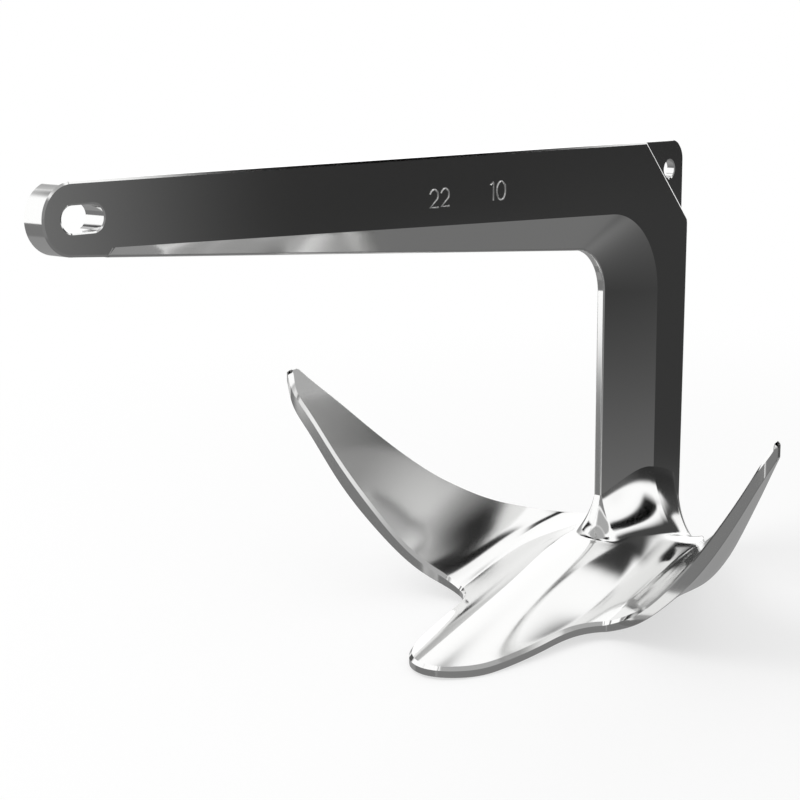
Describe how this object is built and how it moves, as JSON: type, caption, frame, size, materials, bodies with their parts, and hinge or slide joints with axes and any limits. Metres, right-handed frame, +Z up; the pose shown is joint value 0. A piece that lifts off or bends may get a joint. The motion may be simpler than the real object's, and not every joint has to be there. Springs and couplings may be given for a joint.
{
  "type": "claw anchor",
  "caption": "Polished stainless claw anchor cast in one piece, for mooring small boats, with a slotted shank end, a trip-line hole and a broad palm between curved flukes.",
  "frame": {"origin": "on the floor it rests on, under the middle of its bounding box", "axes": "+X along the shank from the shackle slot to the leg, +Z up; the two flukes mirror each other in Y"},
  "size_m": [0.5862, 0.41, 0.3594],
  "materials": {
    "stainless": "polished"
  },
  "bodies": {
    "root": {"claw_anchor": "stainless"}
  },
  "joints": []
}
